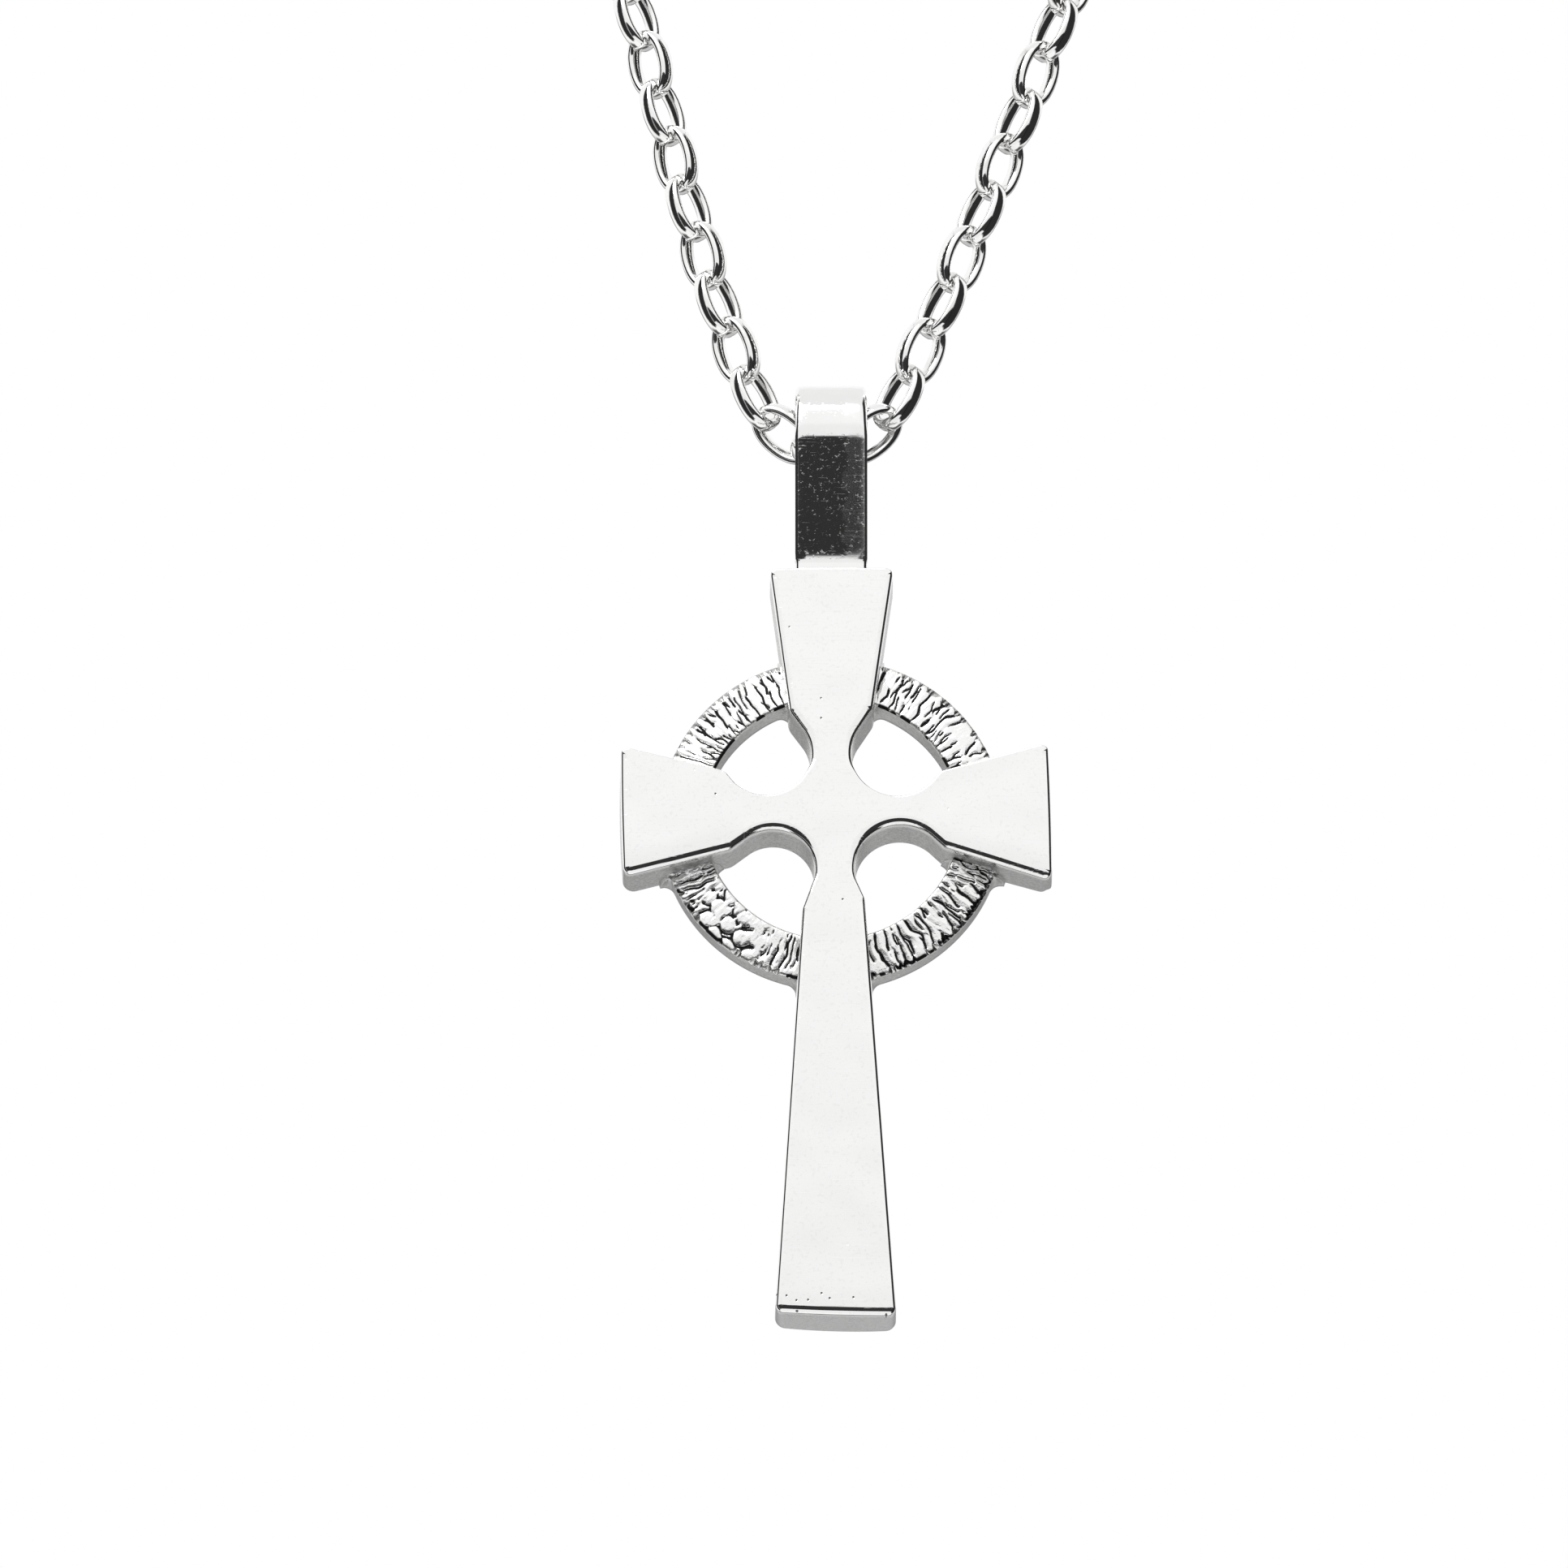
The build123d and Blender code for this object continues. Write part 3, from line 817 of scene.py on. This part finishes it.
def bark_tree():
    """Raises bark ribs across the ring's front and stores a mask of painted shade for the crevices
    between them.
    """
    inputs = [
        ("Depth", "Float"),
        ("Pitch", "Float"),
        ("Scale Pitch", "Float"),
        ("Notch", "Float"),
        ("Seed", "Float"),
        ("Centre", "Vector"),
        ("Inner Radius", "Float"),
        ("Outer Radius", "Float"),
        ("Material", "Material"),
    ]
    graph, given = new_tree("ring_bark", inputs)
    place = graph.in_millimetres(graph.value("GeometryNodeInputPosition", {}, {}))
    middle = graph.value(
        "ShaderNodeVectorMath", {"operation": "SUBTRACT"}, {0: place, 1: given["Centre"]}
    )
    across, _, up = graph.parts(middle)
    turn = graph.math("ARCTAN2", up, across)
    reach = (across * across + up * up) ** 0.5
    middle_radius = (given["Inner Radius"] + given["Outer Radius"]) / 2
    around = turn * middle_radius

    def noise(stretch, layer, scale, detail):
        """Noise on the band, stretched across it; each layer is another cut through it."""
        seat = graph.joined(around, reach * stretch, given["Seed"] + layer)
        return graph.noise(seat, scale, detail)

    def gap(layer, shut):
        """1 where a crevice has closed up."""
        open_share = noise(stretch=0.6, layer=layer, scale=1.7, detail=1.0)
        return 1 - graph.ease(open_share, shut, shut + 0.06)

    def ribs(pitch, bend, layer, shut):
        """Distance to the nearest crevice, in pitches; half a pitch where the crevice is shut."""
        sway = noise(stretch=1.0, layer=layer, scale=0.75, detail=1.5) - 0.5
        phase = around / pitch + sway * bend
        off = 0.5 - abs(graph.math("FRACT", phase) - 0.5)
        return off + gap(layer + 5, shut) * 0.5

    broad = ribs(given["Pitch"], bend=2.2, layer=0, shut=0.4)
    narrow = ribs(given["Pitch"] * 0.8, bend=3.4, layer=11, shut=0.46)
    rib_edge = broad.smaller(narrow)

    drift = (noise(stretch=1.0, layer=23, scale=0.8, detail=1.0) - 0.5) * 0.9
    scale_pitch = given["Scale Pitch"]
    cell = graph.joined((around + drift) / scale_pitch, (reach - drift) / scale_pitch, 0.0)
    settings = {"voronoi_dimensions": "2D", "feature": "SMOOTH_F1"}
    sockets = {"Vector": cell, "Scale": 1.1, "Smoothness": 0.1, "Randomness": 0.5}
    scale_edge = abs(0.52 - graph.value("ShaderNodeTexVoronoi", settings, sockets, "Distance"))
    scaly = (turn * DEGREES_PER_RADIAN).between(*SCALES)
    edge = rib_edge + (scale_edge * 1.6 + gap(layer=41, shut=0.42) * 0.4 - rib_edge) * scaly

    streaks = noise(stretch=0.3, layer=31, scale=5.0, detail=2.0)
    lump = graph.ease(edge, 0.02, 0.13) * 0.65 + graph.ease(edge, 0.1, 0.5) * 0.35
    height = lump + (streaks - 0.5) * 0.4
    front = graph.point_attribute("front", "FLOAT")
    lift = (height - 0.8) * front * given["Depth"] * MM
    rim = graph.ease(reach, given["Outer Radius"] - 0.3, given["Outer Radius"] - 0.05)
    notched = (1 - graph.ease(edge, 0.0, 0.36)) * rim * (front > 0.001)
    pull = notched * given["Notch"] * MM / reach
    offset = graph.joined(-across * pull, -lift, -up * pull)
    moved = graph.value(
        "GeometryNodeSetPosition", {}, {"Geometry": given["Geometry"], "Offset": offset}
    )

    # The rims that face down get painted shade as well, apart from a few gaps
    faces_down = graph.ease((middle_radius - reach) * up / reach, 0.05, 0.4)
    under_rim_shade = graph.ease(front, 0.02, 0.1) * (1 - graph.ease(front, 0.35, 0.6)) * faces_down
    under_rim_shade = under_rim_shade * (1 - gap(layer=51, shut=0.46) * 0.85)
    # The crevice attribute holds painted shade, for the crevices and for the rims that face down
    crevice = ((1 - graph.ease(edge, 0.05, 0.13)) * front).larger(under_rim_shade)
    kept = graph.value(
        "GeometryNodeStoreNamedAttribute",
        {"data_type": "FLOAT", "domain": "POINT"},
        {"Geometry": moved, "Name": "crevice", "Value": crevice},
    )
    end_tree(graph, kept, given["Material"])
    return graph.tree


def chain_tree():
    """Puts an oval link on each point: a fine one near the pendant, a plain one farther off."""
    inputs = [
        ("Link Length", "Float"),
        ("Link Width", "Float"),
        ("Wire Width", "Float"),
        ("Wire Thickness", "Float"),
        ("Steps Round", "Int"),
        ("Steps of Wire", "Int"),
        ("Far Steps Round", "Int"),
        ("Far Steps of Wire", "Int"),
        ("Material", "Material"),
    ]
    graph, given = new_tree("chain_links", inputs)

    def signed_power(value, power):
        return graph.math("SIGN", value) * abs(value) ** power

    def link(around_steps, wire_steps):
        """One link: a square grid, rolled up into the wire and round the hoop."""
        square = {"Size X": 1.0, "Size Y": 1.0}
        steps = {"Vertices X": around_steps + 1, "Vertices Y": wire_steps + 1}
        grid = graph.value("GeometryNodeMeshGrid", {}, {**square, **steps})
        spot = graph.parts(graph.value("GeometryNodeInputPosition", {}, {}))
        around, section = spot[0] * (2 * pi), spot[1] * (2 * pi)
        long_reach = (given["Link Length"] - given["Wire Thickness"]) / 2
        side_reach = (given["Link Width"] - given["Wire Thickness"]) / 2
        round_cos, round_sin = graph.math("COSINE", around), graph.math("SINE", around)
        wire_cos, wire_sin = graph.math("COSINE", section), graph.math("SINE", section)
        out_along, out_side = round_cos * side_reach, round_sin * long_reach
        size = (out_along * out_along + out_side * out_side) ** 0.5
        away = signed_power(wire_cos, WIRE_THICKNESS_POWER) * given["Wire Thickness"] / 2
        band = signed_power(wire_sin, WIRE_WIDTH_POWER) * given["Wire Width"] / 2
        along = signed_power(round_cos, OVAL_POWER) * long_reach + away * out_along / size
        side = signed_power(round_sin, OVAL_POWER) * side_reach + away * out_side / size
        rolled = {"Geometry": grid, "Position": graph.joined(along, side, band)}
        shaped = graph.value("GeometryNodeSetPosition", {}, rolled)
        seams = {"Geometry": shaped, "Distance": SEAM_GAP * MM}
        return graph.value("GeometryNodeMergeByDistance", {}, seams)

    lie = graph.point_attribute("lie", "QUATERNION")
    close = graph.point_attribute("close", "BOOLEAN")
    far = graph.value("FunctionNodeBooleanMath", {"operation": "NOT"}, {0: close})
    fine = link(given["Steps Round"], given["Steps of Wire"])
    plain = link(given["Far Steps Round"], given["Far Steps of Wire"])
    both = graph.make("GeometryNodeJoinGeometry", {}, {})
    for chosen, shape in ((close, fine), (far, plain)):
        seats = {"Points": given["Geometry"], "Selection": chosen, "Rotation": lie}
        links = graph.value("GeometryNodeInstanceOnPoints", {}, {**seats, "Instance": shape})
        graph.tree.links.new(links.socket, both.inputs[0])
    joined = {"Geometry": Value(graph, both.outputs[0])}
    end_tree(graph, graph.value("GeometryNodeSetShadeSmooth", {}, joined), given["Material"])
    return graph.tree


def link_places(node):
    """Where each loose link of the frame's chain lies: its middle, long axis and side axis.

    The faces of a link are kept in the order found, so that every run adds them up alike.
    """
    work = bmesh.new()
    work.from_mesh(node.data)
    bmesh.ops.remove_doubles(work, verts=work.verts, dist=FRAME_GAP * MM)
    work.verts.ensure_lookup_table()
    seen, places = set(), []
    for vertex in work.verts:
        if vertex.index in seen:
            continue
        stack, faces = [vertex], {}
        seen.add(vertex.index)
        while stack:
            here = stack.pop()
            faces.update(dict.fromkeys(here.link_faces))
            for edge in here.link_edges:
                other = edge.other_vert(here)
                if other.index not in seen:
                    seen.add(other.index)
                    stack.append(other)
        areas = np.array([face.calc_area() for face in faces])
        centres = np.array([face.calc_center_median() for face in faces])
        middle = (centres * areas[:, None]).sum(0) / areas.sum()
        spread = centres - middle
        inertia = (spread * areas[:, None]).T @ spread
        _, axes = np.linalg.eigh(inertia)
        along, side = Vector(axes[:, 2]), Vector(axes[:, 1])
        places.append((Vector(middle), along, side))
    work.free()
    return places


def make_chain(node, material):
    """The chain on the links' places of the frame."""
    pivot = (CROSSING + Vector((0, 0, PIVOT_HEIGHT))) * MM
    places = link_places(node)
    mesh = bpy.data.meshes.new("chain_links")
    mesh.from_pydata([place[0] for place in places], [], [])
    lie = mesh.attributes.new("lie", "QUATERNION", "POINT")
    for spot, (_, along, side) in zip(lie.data, places):
        spot.value = Matrix((along, side, along.cross(side))).transposed().to_quaternion()
    close = mesh.attributes.new("close", "BOOLEAN", "POINT")
    for spot, (middle, _, _) in zip(close.data, places):
        spot.value = (middle - pivot).length < CLOSE_RANGE * MM
    values = {
        "Link Length": LINK_LENGTH * MM,
        "Link Width": LINK_WIDTH * MM,
        "Wire Width": WIRE_WIDTH * MM,
        "Wire Thickness": WIRE_THICKNESS * MM,
        "Steps Round": CLOSE_STEPS[0],
        "Steps of Wire": CLOSE_STEPS[1],
        "Far Steps Round": FAR_STEPS[0],
        "Far Steps of Wire": FAR_STEPS[1],
        "Material": material,
    }
    return run_tree(add_object("chain_links", mesh), chain_tree(), values)


# Studio
def make_camera():
    """The photograph's camera: below the cross, looking up at its face."""
    rise = radians(CAMERA_RISE)
    forward = Vector((0, cos(rise), sin(rise)))
    upward = Vector((0, -sin(rise), cos(rise)))
    target = CROSSING + Vector((0, -THICKNESS / 2, 0))
    right, down = (pixels / PIXELS_PER_MM for pixels in CROSSING_OFFSET)
    place = target - forward * CAMERA_DISTANCE - Vector((right, 0, 0)) + upward * down
    data = bpy.data.cameras.new("camera")
    data.sensor_width = SENSOR_WIDTH
    data.lens = SENSOR_WIDTH * PIXELS_PER_MM * CAMERA_DISTANCE / PICTURE_WIDTH
    data.clip_start, data.clip_end = (reach * MM for reach in CLIP_RANGE)
    camera = add_object("camera", data)
    camera.location = place * MM
    camera.rotation_euler = (radians(90) + rise, 0, 0)
    bpy.context.scene.camera = camera


def make_world():
    """White studio: pale cards all round, dark gaps below the lens and at both sides."""
    world = bpy.data.worlds.new("studio")
    world.use_nodes = True
    world.node_tree.nodes.clear()
    graph = Graph(world.node_tree)
    across, deep, up = graph.parts(graph.value("ShaderNodeTexCoord", {}, {}, "Generated"))
    rise = graph.math("ARCSINE", up) * DEGREES_PER_RADIAN
    swing = abs(graph.math("ARCTAN2", across, -deep)) * DEGREES_PER_RADIAN
    right = graph.ease(across, -0.05, 0.05)
    front = 1 - graph.ease(swing, *FRONT_END)
    behind = graph.ease(swing, *BACK_START)
    overhead = graph.ease(rise, *OVERHEAD_START)

    lens_gap = rise.between(*LENS_GAP_RISE) * front
    start, end, soft = FLAG_SWING
    forwards, backwards = RIGHT_FLAG_EXTRA
    flags = swing.between(start - forwards * right, end + backwards * right, soft)
    flags = flags * rise.between(*FLAG_RISE)
    back_shade = BACK_CARD_SHADE + BACK_CARD_EXTRA * graph.ease(rise, *BACK_CARD_DARKER)
    back_card = behind * rise.between(*BACK_CARD_RISE) * back_shade
    back_card = back_card * (1 - STRIPE_SHARE * rise.between(*STRIPE_RISE))
    back_shadow = behind * rise.between(*BACK_SHADOW_RISE)
    front_card = FRONT_CARD + FRONT_CARD_GAIN * graph.ease(rise, *FRONT_CARD_RISE)

    light = (1 - back_card) * (front_card * front + 1 - front) * (1 - OVERHEAD_SHADE * overhead)
    light = light * (1 - lens_gap * LENS_GAP_SHADE) * (1 - flags * FLAG_SHADE)
    light = light * (1 - back_shadow * BACK_SHADOW_SHADE)
    ray = graph.value("ShaderNodeLightPath", {}, {}, "Is Camera Ray")
    light = light * (1 - ray) + ray
    studio = graph.value("ShaderNodeBackground", {}, {"Color": (1, 1, 1, 1), "Strength": light})
    graph.make("ShaderNodeOutputWorld", {}, {"Surface": studio})
    bpy.context.scene.world = world


def make_floor():
    """A plain pale floor well below the cross, wide enough to hide its own edge."""
    radius, height = FLOOR_RADIUS * MM, FLOOR_HEIGHT * MM
    turns = [2 * pi * index / FLOOR_SIDES for index in range(FLOOR_SIDES)]
    corners = [(radius * cos(turn), radius * sin(turn), height) for turn in turns]
    mesh = bpy.data.meshes.new("floor")
    mesh.from_pydata(corners, [], [tuple(range(FLOOR_SIDES))])
    material, graph, _ = new_material("pale_floor")
    finish_material(graph, {"Base Color": FLOOR_COLOUR, "Roughness": 0.8})
    mesh.materials.append(material)
    floor = add_object("floor", mesh)
    floor.visible_glossy = False


def make_light():
    """A soft box above the lens to the left, aimed at the crossing."""
    data = bpy.data.lights.new("soft_box", "AREA")
    data.shape = "RECTANGLE"
    data.size, data.size_y = (side * MM for side in SOFT_BOX_SIZE)
    data.energy = SOFT_BOX_WATTS
    light = add_object("soft_box", data)
    light.location = [part * MM for part in SOFT_BOX_PLACE]
    aim = CROSSING * MM - light.location
    light.rotation_euler = aim.to_track_quat("-Z", "Y").to_euler()


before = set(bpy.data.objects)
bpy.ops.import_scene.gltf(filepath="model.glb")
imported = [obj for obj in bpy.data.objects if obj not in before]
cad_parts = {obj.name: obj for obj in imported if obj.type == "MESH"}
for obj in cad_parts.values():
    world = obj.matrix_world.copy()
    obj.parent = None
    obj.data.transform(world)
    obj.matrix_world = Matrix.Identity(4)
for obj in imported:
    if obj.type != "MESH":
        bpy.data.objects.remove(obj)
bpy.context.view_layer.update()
bpy.context.scene.view_settings.view_transform = "Standard"
make_camera()
make_world()
make_floor()
make_light()

silver = polished_silver()
bark = bark_silver()
strap = strap_silver()
wire = chain_silver("chain_silver", 0.5)
clasp_finish = chain_silver("clasp_silver", 0.35)

body = make_cross(silver)
ring = make_ring(bark)
bark_values = {
    "Depth": BARK_DEPTH,
    "Pitch": BARK_PITCH,
    "Scale Pitch": SCALE_PITCH,
    "Notch": BARK_NOTCH,
    "Seed": BARK_SEED,
    "Centre": tuple(CROSSING),
    "Inner Radius": RING_INNER_RADIUS,
    "Outer Radius": RING_OUTER_RADIUS,
    "Material": bark,
}
run_tree(ring, bark_tree(), bark_values)
bail = make_bail(strap)
chain = make_chain(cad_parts["chain"], wire)

for piece in (body, ring, bail):
    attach(piece, "pendant")
    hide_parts("cross_pendant")
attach(chain, "necklace")
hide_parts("chain")
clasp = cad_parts["clasp"]
clasp.data.materials.clear()
clasp.data.materials.append(clasp_finish)
